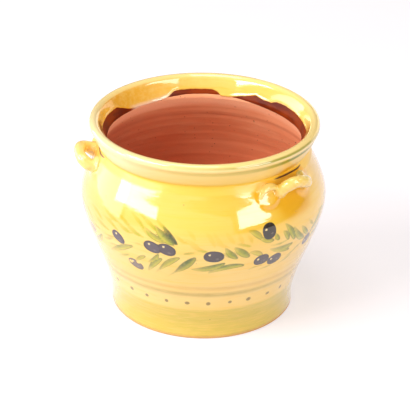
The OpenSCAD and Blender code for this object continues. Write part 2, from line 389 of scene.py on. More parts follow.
# Thin strokes under the leaves: base, tip, width, tone from amber (-1) through gold (0) to brown green (1)
FAINT = [((-22.6, 107.8), (-30.4, 117.0), 3.6, 0), ((-27.4, 107.0), (-39.6, 118.6), 4.2, 0), ((-21.2, 115.0), (-30.6, 125.0), 4.2, 0),
         ((-27.0, 114.0), (-36.6, 125.6), 3.8, 0), ((-33.6, 107.8), (-43.2, 114.6), 4.0, 0), ((-33.4, 111.5), (-45.2, 121.8), 3.6, 0),
         ((-41.6, 104.8), (-53.4, 112.0), 3.8, 0), ((-41.2, 112.8), (-54.0, 120.0), 3.8, 0), ((-47.6, 101.0), (-61.0, 108.8), 3.8, 0.1),
         ((-52.2, 107.0), (-65.6, 113.6), 3.6, 0), ((-15.6, 116.4), (-24.0, 127.0), 3.4, 0), ((-55.4, 96.0), (-69.0, 103.0), 3.6, 0.2),
         ((-61.4, 101.5), (-73.4, 108.0), 3.4, 0.1), ((-25.0, 119.4), (-33.4, 128.6), 3.2, -0.1),
         ((1.0, 101.4), (-7.2, 109.4), 4.0, -0.5), ((-1.4, 104.0), (-10.2, 112.6), 4.6, -0.7), ((5.4, 105.2), (0.8, 118.4), 4.4, -0.9),
         ((9.4, 105.0), (4.8, 119.0), 4.6, -0.8), ((14.4, 106.6), (10.2, 118.6), 4.4, -0.9), ((-3.2, 110.6), (-8.0, 119.6), 3.8, -0.8),
         ((18.4, 106.4), (15.6, 117.4), 4.2, -0.6), ((-6.6, 107.8), (-13.6, 115.8), 4.0, -0.4), ((22.6, 105.6), (19.6, 114.6), 4.0, -0.5),
         ((12.2, 103.6), (3.4, 108.0), 3.4, -0.6), ((2.4, 100.6), (-4.8, 104.0), 3.0, -0.2), ((22.0, 102.2), (13.6, 106.8), 3.2, -0.3),
         ((13.8, 92.8), (8.6, 98.4), 4.6, 0.5), ((-10.4, 84.0), (-17.6, 68.6), 2.2, 0.9), ((-17.8, 85.0), (-24.0, 69.0), 2.4, 0.8),
         ((-27.4, 98.6), (-35.2, 97.8), 1.8, 0.9), ((-46.2, 93.6), (-54.4, 88.4), 2.8, 0.8), ((-44.0, 96.8), (-53.6, 94.6), 2.6, 0.6),
         ((29.4, 78.8), (20.8, 75.4), 1.8, 0.9), ((35.6, 75.6), (26.8, 73.4), 1.8, 0.9), ((47.2, 79.2), (39.0, 74.2), 2.4, 0.8),
         ((49.2, 82.4), (42.4, 77.0), 2.4, 0.8), ((52.6, 86.0), (46.4, 80.0), 2.6, 0.7), ((42.0, 98.4), (30.6, 99.4), 2.4, 0.6),
         ((-8.4, 97.0), (-2.4, 99.6), 2.6, 0.5), ((-7.0, 92.0), (0.6, 92.6), 2.2, 0.6), ((62.0, 98.6), (56.4, 108.6), 3.2, 0.6),
         ((-36.4, 84.2), (-45.6, 77.4), 2.6, 0.5), ((-40.0, 88.0), (-52.0, 84.0), 2.4, 0.5), ((64.0, 80.0), (74.0, 86.0), 2.6, 0.6)]
SPAN = 139.0
for lap in range(3):
    shift = lap * SPAN
    for k, (az, z, l, h, tilt, tone) in enumerate(OLIVES):
        if az + shift < 286:
            jit = math.sin(k * 7.3 + lap * 4.1)
            put_olive(az + shift, z + lap * 1.4 * jit, l, h, tilt + 9 * jit * min(lap, 1), tone)
    for k, (base, tip, w, tone) in enumerate(LEAVES):
        if max(base[0], tip[0]) + shift < 288:
            jit = lap * 1.2 * math.sin(k * 5.1 + lap)
            put_leaf((base[0] + shift, base[1] + jit), (tip[0] + shift + jit, tip[1]), w, tone,
                     0.10 * math.sin(k * 2.3 + 0.5))
    for k, (base, tip, w, tone) in enumerate(FAINT):
        if max(base[0], tip[0]) + shift < 290:
            put_leaf((base[0] + shift, base[1]), (tip[0] + shift, tip[1]), w, tone, 0.08 * math.sin(k * 1.9), True)

# A leaf or a slip of the brush cuts into two of the olives: bearing, height, radius
for az, z, size in ((-36.6, 76.4, 1.9), (-32.2, 78.2, 2.0), (-2.7, 97.2, 2.0), (-38.6, 78.8, 1.2)):
    notch = np.hypot(wrap(AZ - az) * RAD * radius_at, S - surface_s(z))
    field["olive"] = np.maximum(field["olive"], size - notch)

for k in range(30):
    az = 3.6 + 12 * k + 0.7 * math.sin(k * 2.7)
    dx = wrap(AZ - az) * RAD * radius_at
    dy = S - surface_s(39.0 + 0.5 * math.sin(k * 1.3))
    a, b = 1.95 + 0.25 * math.sin(k * 4.4), 1.95 + 0.2 * math.cos(k * 3.1)
    field["dot"] = np.minimum(field["dot"], (np.hypot(dx / a, dy / b) - 1) * 1.6)
for name, b in HANDLE_BEARINGS.items():
    t = wrap(AZ - b)
    inside = soft(t, -15, -2) * soft(-t, -25, -12)
    level = surface_s(150.1) - 0.045 * t + 2.2 * soft(t, 12, 25) + 0.5 * soft(-t, 4, 12)
    field["line"] = np.minimum(field["line"], np.abs(S - level) + 1.1 * (1 - inside) - 0.72)

skin_values = {
    "olive": field["olive"], "olive_tone": olive_tone, "olive_up": olive_up, "glint": field["glint"],
    "shine": field["shine"], "leaf": field["leaf"], "leaf_t": leaf_t, "leaf_side": leaf_side,
    "leaf_tone": leaf_tone, "faint": field["faint"], "faint_t": faint_t, "faint_tone": faint_tone, "dot": field["dot"],
    "lip_green": np.exp(-(wrap(AZ - 46) / 40) ** 2) + 0.35 * np.exp(-(wrap(AZ - 180) / 60) ** 2),
    "lit_side": np.exp(-(wrap(AZ + 66) / 40) ** 2),
    "left_mouth_amber": np.exp(-(wrap(AZ + 112) / 52) ** 2) * (S > outer_len),
    "glaze_run_sheen": soft(AZ, -160, -154) * soft(-AZ, 126, 134) * soft(-to_edge, -5.0, -1.0),
    "line": field["line"], "pool_and_shadow": np.clip(pool_and_shadow, 0, 1.3), "height": Z0, "run": S, "edge": to_edge}
skin = make_mesh("glaze_skin", turned(P[..., 0], AZ, P[..., 1]).reshape(-1, 3), grid_quads(len(P), COLS),
                 values=skin_values)


# Clear glaze below the yellow edge

BAND_COLS = 400
# Lower edge of the clear glaze: bearing and height
RUN_OUT = [(-180, 159.0), (-168, 159.0), (-160, 158.4), (-150, 157.0), (-140, 155.6), (-125, 154.8), (-112, 155.4), (-100, 156.0),
           (95, 156.0), (105, 154.4), (115, 152.9), (128, 153.0), (140, 153.8), (150, 155.5), (160, 157.2), (168, 158.6),
           (180, 159.0)]
band_line = np.concatenate([arc(LIP_C, LIP_R - 0.35, 138, LIP_END, 4), mouth_slope(0.08)[:-2], inner_line(-0.16)[:40]])
b_rows = 34
b_col = np.arange(BAND_COLS) * 360.0 / BAND_COLS - 180.0
b_z = np.interp(b_col, [d[0] for d in RUN_OUT], [d[1] for d in RUN_OUT]) + 0.12 * ripple(b_col * 0.4, 1.0)
b_last = np.interp(-b_z, -band_line[:60, 1], lengths(band_line)[:60])
bs = np.linspace(0, 1, b_rows)[:, None] * b_last[None, :]
B = along(band_line, bs)
b_az = np.repeat(b_col[None, :], b_rows, 0)
Bn = line_normals(B)
b_end = b_last[None, :] - bs
low = 0.3 + 0.9 * (1 + around(b_az, 7.7)) * 0.5
b_off = -0.62 * np.exp(-(b_end / (0.25 + 0.3 * low)) ** 2) + 0.05 * ripple(b_az * 0.4 + bs, 3.0)
B = B + Bn * b_off[..., None]
band = make_mesh("throat_band", turned(B[..., 0], b_az, B[..., 1]).reshape(-1, 3), grid_quads(b_rows, BAND_COLS),
                 values={"height": B[..., 1], "glaze_run_sheen": soft(b_az, -159, -155) * soft(-b_az, 128, 134)})


# Bare clay: foot, underside, hidden outer face, inner wall and floor

CLAY_COLS = 400
clay_in = inner_line(0.0)
hidden = face_line(2.6)
hidden = hidden[hidden[:, 1] > GLAZE_FOOT + 3.0]
bare_foot = np.concatenate([arc((FOOT_R - 0.15 - FOOT_EDGE, FOOT_EDGE), FOOT_EDGE, -90, 0, 8),
                            [[FOOT_R - 0.15, GLAZE_FOOT], [FOOT_R - 1.2, GLAZE_FOOT + 1.5]]])
underside = np.array([[0.6, 0.9], [30, 0.8], [60, 0.5], [70, 0.25], [FOOT_R - 4.5, 0.0]])
under = along(underside, np.linspace(0, lengths(underside)[-1], 30))[:-1]
out_part = along(np.concatenate([bare_foot, hidden]),
                 np.concatenate([np.linspace(0, 6.5, 14), np.linspace(8, lengths(np.concatenate([bare_foot, hidden]))[-1], 46)]))
slope = np.concatenate([out_part[-1:], mouth_slope(0.62)])
slope = along(slope, np.linspace(0, lengths(slope)[-1], 16))[1:-1]
in_part = along(clay_in, np.linspace(0, lengths(clay_in)[-1], 142))
C = np.concatenate([under, out_part, slope, in_part])
n_in = len(C) - len(in_part)
rows = len(C)
CP = np.repeat(C[:, None, :], CLAY_COLS, 1)
c_az = np.repeat((np.arange(CLAY_COLS) * 360.0 / CLAY_COLS - 180.0)[None, :], rows, 0)
CN = line_normals(CP)
c_run = np.zeros((rows, CLAY_COLS))
c_run[n_in:] = np.linspace(0, lengths(clay_in)[-1], len(in_part))[:, None]
inside = np.zeros((rows, CLAY_COLS))
inside[n_in:] = soft(c_run[n_in:], 1.5, 9)
floor_fade = soft(CP[..., 0], 2, 12)
spiral = c_run + c_az / 360.0 * 10.0
deeper = 0.45 + 0.55 * soft(-CP[..., 1], -135, -105)
rings = (0.17 * np.sin(spiral * 2 * math.pi / 10.0 + 0.8 * around(c_az, 1.4)) + 0.10 * np.sin(
    spiral * 2 * math.pi / 5.0 + 1.6 * around(c_az, 6.0)) + 0.05 * ripple(spiral * 2.3, 1.0)) * deeper
CP = CP + CN * (rings * inside * floor_fade)[..., None]
dimples = np.zeros((rows, CLAY_COLS))
for az, z, r in ((151, 133.5, 1.0), (120.5, 128, 0.9), (112, 131, 0.9), (149, 138, 0.6), (-128, 142, 0.7)):
    dx = wrap(c_az - az) * RAD * 98
    dimples = np.maximum(dimples, np.exp(-((np.hypot(dx, CP[..., 1] - z)) / r) ** 2) * (inside > 0))
clay_pts = turned(CP[..., 0], c_az, np.maximum(CP[..., 1], 0.0)).reshape(-1, 3)
pole_low, pole_high = len(clay_pts), len(clay_pts) + 1
clay_pts = np.concatenate([clay_pts, [[0, 0, 0.9], [0, 0, FLOOR_T]]])
fans = [(pole_low, (j + 1) % CLAY_COLS, j) for j in range(CLAY_COLS)]
last = (rows - 1) * CLAY_COLS
fans += [(pole_high, last + j, last + (j + 1) % CLAY_COLS) for j in range(CLAY_COLS)]
pad2 = lambda v, a, b: np.concatenate([v.ravel(), [a, b]])
clay = make_mesh("jar_clay", clay_pts, grid_quads(rows, CLAY_COLS), fans,
                 {"height": pad2(CP[..., 1], 0.9, FLOOR_T), "turn": pad2(c_az, 0, 0), "spiral": pad2(spiral, 0, 0),
                  "inside": pad2((np.arange(rows)[:, None] >= n_in) * np.ones((rows, CLAY_COLS)), 0, 1),
                  "foot": pad2(((np.arange(rows)[:, None] >= len(under)) & (np.arange(rows)[:, None] < len(under) + 14)) * np.ones((rows, CLAY_COLS)), 0, 0),
                  "shade": pad2(np.exp(-(wrap(c_az + 110) / 52) ** 2), 0, 0),
                  "pit": pad2(dimples, 0, 0)})


# Coil handles: a coil between two thumb-pressed pads, joined into one skin

wall_keep = outer[:, 1] < 150


def wall_at(z):
    return np.interp(z, outer[wall_keep][:, 1], outer[wall_keep][:, 0])


def tube(path, half_a, half_b, up, sides=28):
    """A closed tube along a path, half_a wide across the up direction and half_b along it."""
    t = np.gradient(path, axis=0)
    t /= np.linalg.norm(t, axis=1, keepdims=True)
    side = np.cross(t, up)
    side /= np.linalg.norm(side, axis=1, keepdims=True)
    over = np.cross(side, t)
    a = np.linspace(0, 2 * math.pi, sides, endpoint=False)
    pts = (path[:, None, :] + (half_a[:, None] * np.cos(a))[..., None] * side[:, None, :]
           + (half_b[:, None] * np.sin(a))[..., None] * over[:, None, :])
    n = len(path)
    faces = [tuple(int(v) for v in f) for f in grid_quads(n, sides)]
    faces += [tuple(range(sides))[::-1], tuple((n - 1) * sides + j for j in range(sides))]
    return pts.reshape(-1, 3), faces


def coil(name, bearing, reach, lift, tilt, skew):
    seed = bearing * 0.11
    shade_and_pool = SHADE_AND_POOL[name]
    root_x = math.sqrt(root_r**2 - HALF_SPAN**2)
    rot = (bearing - 90) * RAD

    def on_wall(p):
        """Local points (out from the wall, along it, above the roots) laid on the curved wall."""
        z = ROOT_Z + p[:, 2]
        r = wall_at(z) + p[:, 0]
        turn = rot + p[:, 1] / root_r
        return np.stack([r * np.cos(turn), r * np.sin(turn), z], 1)

    def in_space(p):
        return np.stack([p[:, 0] * math.cos(rot) - p[:, 1] * math.sin(rot),
                         p[:, 0] * math.sin(rot) + p[:, 1] * math.cos(rot), p[:, 2] + ROOT_Z], 1)

    parts = []
    u = np.linspace(-1, 1, 90)
    c, sn = np.cos(u * math.pi / 2 * 0.985), np.sin(u * math.pi / 2 * 0.985)
    path = np.stack([root_x + 0.6 + (reach - 0.4) * c ** 0.72, 5.5 + 14.2 * sn, -1.0 + lift * c ** 0.85 * (1 - skew * sn) + tilt * sn], 1)
    path = np.concatenate([path[:1] - [3.0, 0, 0], path, path[-1:] - [3.0, 0, 0]])
    w = np.concatenate([u[:1], u, u[-1:]])
    swell = 1 + 0.04 * np.sin(7 * w + seed) + 0.26 * np.exp(-((1 - np.abs(w)) / 0.12) ** 2)
    verts, faces = tube(path, COIL_T / 2 * swell + 0.35, COIL_H / 2 * swell + 0.55, np.array([0, 0, 1.0]))
    parts.append((in_space(verts), faces))
    lobes = ((-18.6, -0.6, 11.4, 9.4, 1.0), (20.6, tilt * 0.4, 8.2, 8.2, 0.8))
    for mid, level, half_y, half_z, relief in lobes:
        lat = np.linspace(-90, 90, 26)
        ell = tube(np.stack([0 * lat, 0 * lat, np.sin(lat * RAD)], 1), np.maximum(np.cos(lat * RAD), 0.02),
                   np.maximum(np.cos(lat * RAD), 0.02), np.array([1.0, 0, 0]))
        parts.append((on_wall(ell[0] * [2.3 * relief, half_y - 0.6, half_z - 1.8] + [-0.3, mid, level + 1.6]), ell[1]))
        th = np.linspace(2, 178, 44) * RAD
        rim_r = relief * (1.7 + 1.1 * np.sin(np.linspace(0, math.pi, 44)))
        rim = np.stack([relief * (0.8 + 1.3 * np.sin(th)), mid + (half_y - 1.6) * np.cos(th), level - 0.6 + (half_z - 1.2) * np.sin(th)], 1)
        v, fc = tube(rim, rim_r, rim_r * 1.15, np.array([1.0, 0, 0]), 20)
        parts.append((on_wall(v), fc))
    verts, faces, base = [], [], 0
    for v, fc in parts:
        verts.append(v)
        faces += [tuple(i + base for i in f) for f in fc]
        base += len(v)
    raw = make_mesh("raw_" + name, np.concatenate(verts), faces)
    joined = raw.modifiers.new("join", "REMESH")
    joined.mode = "VOXEL"
    joined.voxel_size = 0.5 * MM
    eased = raw.modifiers.new("ease", "SMOOTH")
    eased.factor = 0.5
    eased.iterations = 20
    bpy.context.view_layer.update()
    mesh = bpy.data.meshes.new_from_object(raw.evaluated_get(bpy.context.evaluated_depsgraph_get()))
    bpy.data.objects.remove(raw)
    co = np.empty(len(mesh.vertices) * 3)
    mesh.vertices.foreach_get("co", co)
    v = co.reshape(-1, 3) / MM
    r = np.hypot(v[:, 0], v[:, 1])
    turn = np.arctan2(v[:, 1], v[:, 0])
    y = (turn - rot + math.pi) % (2 * math.pi) - math.pi
    y *= root_r
    z = v[:, 2] - ROOT_Z
    out = r - wall_at(v[:, 2])
    dish = np.zeros(len(v))
    for mid, level, half_y, half_z, relief in lobes:
        d = np.hypot((y - mid) / half_y, (z - level + 3.0) / half_z)
        dish = np.maximum(dish, relief * np.exp(-(d / 0.62) ** 3))
    r = r - 2.1 * dish * soft(-out, -7.5, -5.0) * (out > -0.5)
    r = r + (0.18 * np.sin(y * 0.7 + seed) * np.sin(z * 0.8 + 2 * seed) + 0.06 * np.sin(y * 1.7 + z * 1.3)) * soft(out, 0.5, 2)
    r = np.maximum(r, wall_at(v[:, 2]) - 2.6)
    v = np.stack([r * np.cos(turn), r * np.sin(turn), v[:, 2]], 1)
    mesh.vertices.foreach_set("co", (v * MM).ravel())
    mesh.update()
    nor = np.empty(len(mesh.vertices) * 3)
    mesh.vertices.foreach_get("normal", nor)
    nor = nor.reshape(-1, 3)
    edge = np.empty(len(mesh.edges) * 2, dtype=np.int32)
    mesh.edges.foreach_get("vertices", edge)
    ea, eb = edge.reshape(-1, 2).T
    degree = np.bincount(edge, minlength=len(v))

    def spread(val):
        """Mean of the neighbours of each vertex."""
        return (np.bincount(ea, val[eb], len(v)) + np.bincount(eb, val[ea], len(v))) / np.maximum(degree, 1)

    # How far each point lies in a hollow, for painted shade in the hollows and a painted highlight on the ridges
    broad = v.copy()
    for _ in range(24):
        broad = np.stack([spread(broad[:, k]) for k in range(3)], 1)
    cavity_shading = ((broad - v) * nor).sum(1)
    for _ in range(4):
        cavity_shading = spread(cavity_shading)
    # Colour masks: pooled glaze and painted shade at the root, painted light on the tops and on the lit left handle,
    # painted shade in the hollows, and pooled glaze in the thumb prints
    for key, val in (("root", shade_and_pool * np.exp(-np.maximum(out, 0) / 1.5)), ("over", nor[:, 2] + 0.8 * (1 - shade_and_pool)), ("cavity_shading", shade_and_pool * cavity_shading / 0.30),
                     ("along", y / HALF_SPAN), ("lit_pale", (1 - shade_and_pool) * (0.8 + 0.2 * np.sin(y * 0.5 + z * 0.4))), ("height", v[:, 2]), ("dish", shade_and_pool * dish * soft(-out, -8, -6))):
        layer = mesh.attributes.new(key, "FLOAT", "POINT")
        layer.data.foreach_set("value", np.ascontiguousarray(val, dtype=np.float32))
    mesh.polygons.foreach_set("use_smooth", np.ones(len(mesh.polygons), dtype=bool))
    obj = bpy.data.objects.new("coil_" + name.split("_")[1], mesh)
    bpy.context.scene.collection.objects.link(obj)
    return obj


HANDLE_FORMS = {"handle_right": (13.2, 10.0, 0.0, 0.42), "handle_left": (14.1, 7.6, -2.0, 0.0), "handle_back": (13.0, 8.0, 0.5, 0.2)}
coils = {name: coil(name, b, *HANDLE_FORMS[name]) for name, b in HANDLE_BEARINGS.items()}


# Materials

def srgb(r, g, b):
    out = []
    for v in (r, g, b):
        c = v / 255.0
        out.append(c / 12.92 if c <= 0.04045 else ((c + 0.055) / 1.055) ** 2.4)
    return (*out, 1.0)


class Graph:
    def __init__(self, name):
        self.mat = bpy.data.materials.new(name)
        self.mat.use_nodes = True
        self.tree = self.mat.node_tree
        self.tree.nodes.clear()
        self.out = self.node("ShaderNodeOutputMaterial")

    def node(self, kind, **props):
        made = self.tree.nodes.new(kind)
        for key, val in props.items():
            setattr(made, key, val)
        return made

    def put(self, socket, value):
        if isinstance(value, bpy.types.NodeSocket):
            self.tree.links.new(value, socket)
        elif value is not None:
            socket.default_value = value

    def math(self, op, a, b=None, clamp=False):
        n = self.node("ShaderNodeMath", operation=op, use_clamp=clamp)
        self.put(n.inputs[0], a)
        self.put(n.inputs[1], b)
        return n.outputs[0]

    def span(self, value, lo, hi, to_lo=0.0, to_hi=1.0, smooth=True):
        n = self.node("ShaderNodeMapRange", interpolation_type="SMOOTHSTEP" if smooth else "LINEAR")
        for key, val in (("Value", value), ("From Min", lo), ("From Max", hi), ("To Min", to_lo), ("To Max", to_hi)):
            self.put(n.inputs[key], val)
        return n.outputs[0]

    def mix(self, fac, a, b, kind="MIX"):
        n = self.node("ShaderNodeMix", data_type="RGBA", blend_type=kind)
        self.put(n.inputs[0], fac)
        self.put(n.inputs[6], a)
        self.put(n.inputs[7], b)
        return n.outputs[2]

    def attr(self, name):
        return self.node("ShaderNodeAttribute", attribute_name=name).outputs["Fac"]

    def coords(self, scale):
        tc = self.node("ShaderNodeTexCoord")
        mp = self.node("ShaderNodeMapping")
        mp.inputs["Scale"].default_value = scale
        self.tree.links.new(tc.outputs["Object"], mp.inputs["Vector"])
        return mp.outputs[0]

    def noise(self, scale, size=1.0, detail=3.0, rough=0.55):
        n = self.node("ShaderNodeTexNoise")
        self.put(n.inputs["Vector"], self.coords(scale))
        n.inputs["Scale"].default_value = size
        n.inputs["Detail"].default_value = detail
        n.inputs["Roughness"].default_value = rough
        return n.outputs[0]

    def spots(self, size, lo, hi):
        n = self.node("ShaderNodeTexVoronoi")
        self.put(n.inputs["Vector"], self.coords((size, size, size)))
        n.inputs["Scale"].default_value = 1.0
        return self.span(n.outputs["Distance"], lo, hi, 1.0, 0.0)

    def bump(self, height, distance, strength=1.0, normal=None):
        n = self.node("ShaderNodeBump")
        self.put(n.inputs["Height"], height)
        n.inputs["Distance"].default_value = distance
        n.inputs["Strength"].default_value = strength
        self.put(n.inputs["Normal"], normal)
        return n.outputs[0]

    def shader(self, **sockets):
        n = self.node("ShaderNodeBsdfPrincipled")
        for key, val in sockets.items():
            self.put(n.inputs[key.replace("_", " ")], val)
        self.tree.links.new(n.outputs[0], self.out.inputs["Surface"])
        return n


YELLOW = srgb(250, 205, 86)
YELLOW_PALE = srgb(252, 214, 118)
YELLOW_DEEP = srgb(248, 198, 30)
AMBER = srgb(243, 178, 0)
OLIVE_GREEN = srgb(120, 128, 34)
OLIVE_WASH = srgb(216, 188, 52)


def glaze_base(g, height):
    """Yellow glaze: streaks from throwing, thin and thick patches, and fine speckles."""
    streak = g.noise((6, 6, 190), 1.0, 4.0, 0.6)
    broad = g.noise((9, 9, 30), 1.0, 3.0, 0.55)
    fine = g.noise((60, 60, 700), 1.0, 3.0, 0.6)
    col = g.mix(g.span(broad, 0.34, 0.66), YELLOW_PALE, YELLOW)
    deep = g.math("MULTIPLY", g.span(streak, 0.46, 0.72), 0.55)
    shoulder = g.math("MULTIPLY", g.span(height, 108, 122), g.span(height, 157, 150, 0.0, 1.0))
    col = g.mix(g.math("MULTIPLY", shoulder, 0.50), col, YELLOW_DEEP)
    col = g.mix(deep, col, YELLOW_DEEP)
    col = g.mix(g.math("MULTIPLY", g.span(fine, 0.52, 0.75), 0.20), col, AMBER)
    return col


def glaze_skin():
    g = Graph("painted_glaze_skin")
    height = g.attr("height")
    run = g.attr("run")
    col = glaze_base(g, height)
    brush = g.noise((220, 220, 220), 1.0, 3.0, 0.6)
    dry = g.noise((70, 70, 900), 1.0, 3.0, 0.65)
    wob = g.math("MULTIPLY", g.math("SUBTRACT", brush, 0.5), 1.5)
    # Painted light: the lit left of the shoulder is painted a little more peach
    lit_peach = g.math("MULTIPLY", g.attr("lit_side"), g.span(height, 92, 114))
    col = g.mix(g.math("MULTIPLY", lit_peach, 0.72), col, srgb(250, 190, 98))
    # Deeper amber round the roots of the handles: glaze pooled round the pads, and the painted shadow and painted
    # reflection of each coil on the wall
    pool_and_shadow = g.span(g.attr("pool_and_shadow"), 0.25, 1.1)
    col = g.mix(g.math("MULTIPLY", pool_and_shadow, 0.9), col, AMBER)
    # Deeper yellow in the crease: glaze pooled there, and painted shade that fades on the lit left side
    crease = g.math("MULTIPLY", g.span(height, 149.6, 151.6), g.span(height, 155, 152.2, 0.0, 1.0))
    col = g.mix(g.math("MULTIPLY", crease, g.span(g.attr("lit_side"), 0.0, 1.0, 0.42, 0.08)), col, YELLOW_DEEP)
    # Painted light: the collar is painted paler, less so round the handles, and paler still on the lit left side
    collar_lit = g.math("MULTIPLY", g.span(height, 151.8, 156), g.span(run, outer_len + 1, outer_len - 3))
    col = g.mix(g.math("MULTIPLY", collar_lit, g.span(pool_and_shadow, 0.0, 1.0, 0.45, 0.0)), col, srgb(255, 230, 160))
    col = g.mix(g.math("MULTIPLY", collar_lit, g.span(g.attr("lit_side"), 0.0, 1.0, 0.0, 0.6)), col, srgb(255, 244, 206))
    # Green wash from the foot up, a darker streak in it
    low = g.noise((5, 5, 60), 1.0, 3.0, 0.6)
    wash_top = g.math("ADD", 31.5, g.math("MULTIPLY", g.math("SUBTRACT", low, 0.5), 7.0))
    wash = g.span(g.math("SUBTRACT", height, wash_top), -2.4, 1.4, 1.0, 0.0)
    wash = g.math("MULTIPLY", wash, g.span(dry, 0.30, 0.62, 0.50, 0.90))
    col = g.mix(wash, col, OLIVE_WASH)
    dark = g.math("MULTIPLY", g.span(height, 15, 19.5), g.span(height, 25, 21, 0.0, 1.0))
    col = g.mix(g.math("MULTIPLY", g.math("MULTIPLY", dark, low), 0.24), col, OLIVE_GREEN)
    # Double band
    for at, half, force, hue in ((49.8, 2.9, 0.46, srgb(160, 134, 0)), (57.2, 3.0, 0.30, srgb(200, 140, 0))):
        d = g.math("ABSOLUTE", g.math("ADD", g.math("SUBTRACT", height, at), g.math("MULTIPLY", wob, 0.45)))
        on = g.math("MULTIPLY", g.span(d, 0.0, half * 1.5, 1.0, 0.0), g.span(dry, 0.25, 0.65, force * 0.7, force * 1.3))
        col = g.mix(on, col, hue)
    # Thin, pale glaze on the lip, and painted lines on it and just below it
    lip = g.math("MULTIPLY", g.span(height, 167.5, 171.5), g.span(run, outer_len + 3.5, outer_len + 0.5))
    col = g.mix(g.math("MULTIPLY", lip, 0.46), col, srgb(254, 228, 156))
    for at, half, force in ((166.8, 2.0, 0.60), (172.4, 1.1, 0.55)):
        d = g.math("ABSOLUTE", g.math("SUBTRACT", height, at))
        outer_only = g.span(run, outer_len - 4.0, outer_len - 9.0, 0.0, 1.0)
        on = g.math("MULTIPLY", g.math("MULTIPLY", g.span(d, half * 0.3, half * 1.5, 1.0, 0.0), outer_only),
                    g.span(low, 0.30, 0.60, force * 0.5, force * 1.5))
        on = g.math("MULTIPLY", on, g.math("ADD", g.attr("lip_green"), 0.18), clamp=True)
        col = g.mix(on, col, srgb(140, 142, 6))
    # Faint strokes
    ft = g.attr("faint_t")
    tint = g.attr("faint_tone")
    f = g.span(g.math("ADD", g.attr("faint"), wob), -1.1, 0.6, 1.0, 0.0)
    f = g.math("MULTIPLY", f, g.span(ft, 0.0, 1.0, 0.95, 0.38))
    f = g.math("MULTIPLY", f, g.span(tint, 0.3, 0.8, 1.0, 0.72))
    hue = g.mix(g.span(tint, 0.0, 0.9), srgb(182, 174, 0), srgb(142, 134, 0))
    f = g.math("MULTIPLY", f, g.span(tint, -0.8, -0.2, 0.50, 1.0))
    col = g.mix(f, col, g.mix(g.span(tint, -0.1, -0.8), hue, srgb(246, 184, 0)))
    # Leaves: a wet middle, a darker rim and base, and a tip that fades
    lt, side, tone = g.attr("leaf_t"), g.attr("leaf_side"), g.attr("leaf_tone")
    leaf_d = g.math("ADD", g.attr("leaf"), g.math("MULTIPLY", wob, 0.7))
    body = g.span(leaf_d, -0.2, 0.95, 1.0, 0.0)
    rim = g.math("MULTIPLY", g.span(leaf_d, -0.8, 0.2), body)
    fade = g.span(lt, 0.5, 1.0, 1.0, 0.5)
    leaf_col = g.mix(g.span(tone, 0.1, 0.6), srgb(188, 168, 10), srgb(106, 128, 0))
    leaf_col = g.mix(g.span(tone, 0.6, 1.0), leaf_col, srgb(26, 52, 0))
    leaf_col = g.mix(g.math("MULTIPLY", g.span(side, -0.5, 0.6), g.span(tone, 1.0, 0.7, 0.12, 0.62)), leaf_col, srgb(206, 198, 16))
    leaf_col = g.mix(g.math("MULTIPLY", rim, g.span(lt, 0.0, 0.9, 0.92, 0.40)), leaf_col, srgb(60, 76, 0))
    force = g.math("MULTIPLY", g.math("MULTIPLY", body, fade), g.span(tone, 0.2, 0.9, 0.84, 1.0))
    force = g.math("MULTIPLY", force, g.span(brush, 0.2, 0.7, 0.75, 1.0))
    col = g.mix(force, col, leaf_col)
    # Olives
    od = g.math("ADD", g.attr("olive"), g.math("MULTIPLY", wob, 0.35))
    o_on = g.span(od, -0.30, 0.30, 1.0, 0.0)
    ot = g.attr("olive_tone")
    o_col = g.mix(ot, srgb(88, 76, 98), srgb(10, 10, 18))
    o_light = g.math("MULTIPLY", g.span(g.attr("olive_up"), 0.0, 0.8), g.span(brush, 0.35, 0.7))
    o_col = g.mix(g.math("MULTIPLY", o_light, 0.22), o_col, srgb(120, 112, 134))
    o_edge = g.span(od, -1.7, -0.4)
    o_col = g.mix(g.math("MULTIPLY", o_edge, 0.70), o_col, srgb(18, 16, 30))
    o_col = g.mix(g.math("MULTIPLY", g.span(g.attr("shine"), -0.6, 0.5, 1.0, 0.0), 0.38), o_col, srgb(150, 138, 130))
    cover = g.math("MULTIPLY", o_on, g.span(ot, 0.05, 0.35, 0.62, 0.97))
    col = g.mix(cover, col, o_col)
    col = g.mix(g.math("MULTIPLY", g.span(g.attr("glint"), -0.35, 0.30, 1.0, 0.0), 0.92), col, srgb(250, 226, 158))
    # Dots
    dots = g.span(g.math("ADD", g.attr("dot"), g.math("MULTIPLY", wob, 0.3)), -0.5, 0.45, 1.0, 0.0)
    col = g.mix(g.math("MULTIPLY", dots, 0.84), col, srgb(116, 92, 0))
    # Brown line in the crease above each handle, iron specks, and the thin edge at the foot
    col = g.mix(g.math("MULTIPLY", g.span(g.attr("line"), -0.25, 0.25, 1.0, 0.0), 0.95), col, srgb(70, 30, 4))
    col = g.mix(g.math("MULTIPLY", g.spots(62, 0.022, 0.040), 0.7), col, srgb(132, 80, 22))
    thin = g.math("MULTIPLY", g.span(run, 2.6, 0.4), g.span(brush, 0.35, 0.6, 0.15, 0.6))
    col = g.mix(thin, col, srgb(206, 150, 62))
    # The glaze runs thin and brown where it ends in the mouth, and the left of the mouth's slope is a deeper amber
    col = g.mix(g.math("MULTIPLY", g.span(g.attr("edge"), 2.2, 0.3), 0.45), col, srgb(206, 130, 30))
    col = g.mix(g.math("MULTIPLY", g.attr("left_mouth_amber"), g.span(brush, 0.30, 0.62, 0.45, 0.85)), col, srgb(240, 168, 4))
    # A glaze run over the crest at the back left, painted pale as a painted reflection
    col = g.mix(g.math("MULTIPLY", g.attr("glaze_run_sheen"), 0.8), col, srgb(250, 220, 196))
